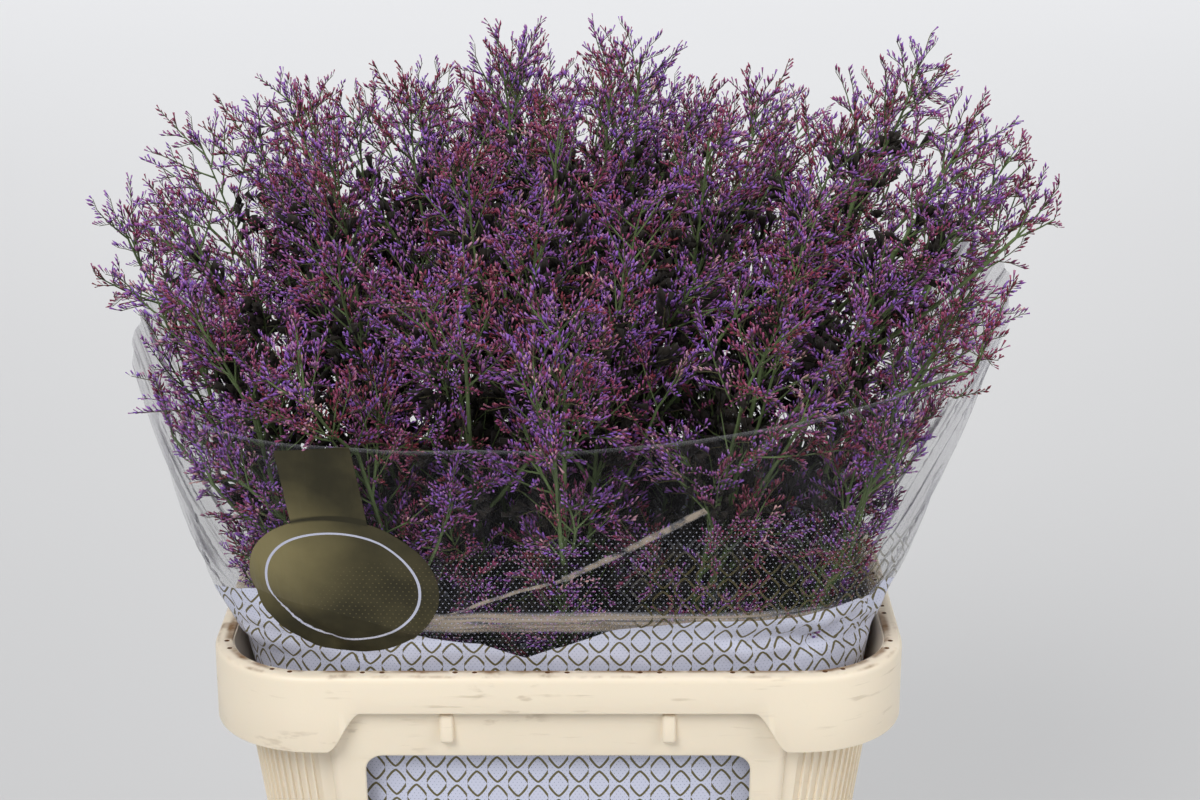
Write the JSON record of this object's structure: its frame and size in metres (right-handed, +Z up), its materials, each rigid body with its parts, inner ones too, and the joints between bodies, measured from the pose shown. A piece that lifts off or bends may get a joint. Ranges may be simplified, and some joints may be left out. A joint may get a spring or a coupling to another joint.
{
  "type": "dried statice",
  "caption": "Sleeved bunch of dried statice: fine-branched purple sprays in a flared film sleeve, standing upright in a rectangular flower bucket.",
  "frame": {"origin": "middle of the bucket's underside, on the floor it stands on", "axes": "+Z up the stems, +X along the bucket's long wall to the right as seen from the front, -Y to the front"},
  "size_m": [0.5168, 0.4425, 0.7199],
  "materials": {
    "bucket_plastic": "cream moulded plastic, scuffed and slightly dirty, satin",
    "printed_film": "clear film, glossy, printed white with an olive gold lattice in its lower part",
    "statice": null
  },
  "bodies": {
    "root": {"bucket": "bucket_plastic", "film_sleeve": "printed_film", "spray_01": "statice", "spray_02": "statice", "spray_03": "statice", "spray_04": "statice", "spray_05": "statice", "spray_06": "statice", "spray_07": "statice", "spray_08": "statice", "spray_09": "statice", "spray_10": "statice", "spray_11": "statice", "spray_12": "statice", "spray_13": "statice", "spray_14": "statice", "spray_15": "statice", "spray_16": "statice", "spray_17": "statice", "spray_18": "statice", "spray_19": "statice", "spray_20": "statice", "spray_21": "statice", "spray_22": "statice", "spray_23": "statice", "spray_24": "statice", "spray_25": "statice", "spray_26": "statice", "spray_27": "statice", "spray_28": "statice", "spray_29": "statice", "spray_30": "statice", "spray_31": "statice", "spray_32": "statice", "spray_33": "statice", "spray_34": "statice", "spray_35": "statice", "spray_36": "statice", "spray_37": "statice", "spray_38": "statice", "spray_39": "statice", "spray_40": "statice", "spray_41": "statice", "spray_42": "statice"}
  },
  "joints": []
}
